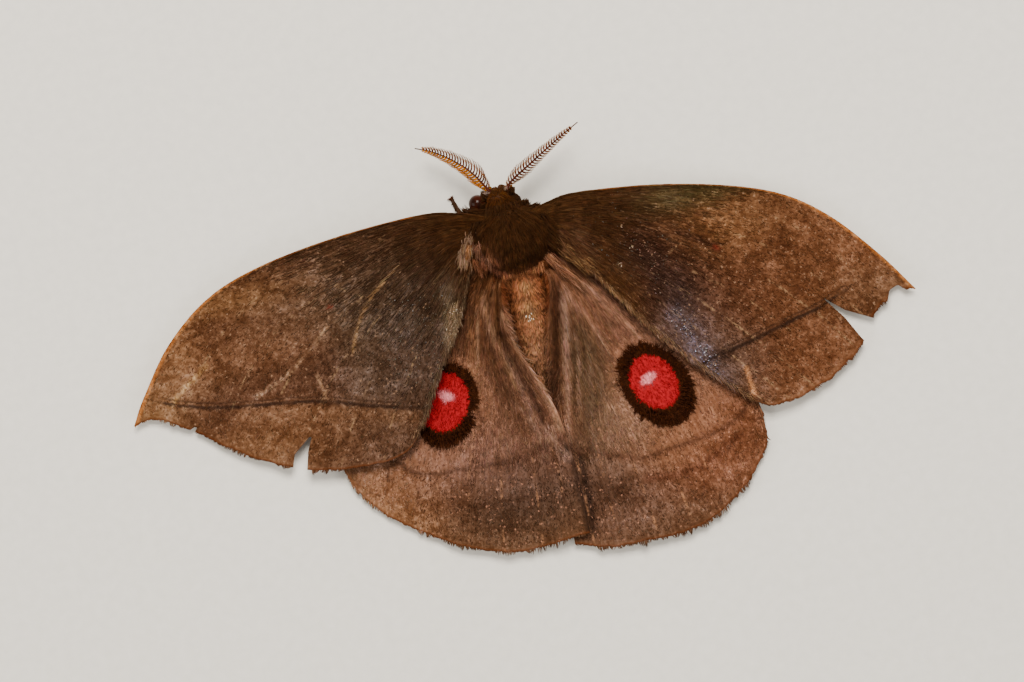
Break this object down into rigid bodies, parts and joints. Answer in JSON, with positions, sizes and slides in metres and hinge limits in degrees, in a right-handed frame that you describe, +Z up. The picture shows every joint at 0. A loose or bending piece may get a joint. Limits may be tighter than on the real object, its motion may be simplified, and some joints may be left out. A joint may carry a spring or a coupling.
{
  "type": "silk moth with eyespots, still life-size model",
  "caption": "Large brown silk moth at rest with feathered antennae, torn forewing edges and a red eyespot on each spread hind wing.",
  "frame": {"origin": "on the surface that the moth stands on, under the middle of its outline seen from above", "axes": "+X to the moth's own right, +Y towards its head, +Z up"},
  "size_m": [0.0854, 0.0468, 0.0091],
  "materials": {
    "dark_fur": "dense dark brown hair scales",
    "belly_fur": "reddish brown hair scales",
    "eye": "glossy dark brown compound eye",
    "feeler": "amber combs on a red-brown shaft",
    "forewing": "matt brown wing scales with pale speckles",
    "hindwing": "matt tan wing scales with a red and black eyespot",
    "leg": "short brown hair scales"
  },
  "bodies": {
    "root": {"head": "dark_fur", "thorax": "dark_fur", "palp_left": "dark_fur", "palp_right": "dark_fur", "abdomen": "belly_fur", "eye_left": "eye", "eye_right": "eye", "antenna_left": "feeler", "antenna_right": "feeler", "forewing_left": "forewing", "forewing_right": "forewing", "hindwing_left": "hindwing", "hindwing_right": "hindwing", "leg_fore_left": "leg", "leg_fore_right": "leg", "leg_mid_left": "leg", "leg_mid_right": "leg", "leg_hind_left": "leg", "leg_hind_right": "leg"}
  },
  "joints": []
}
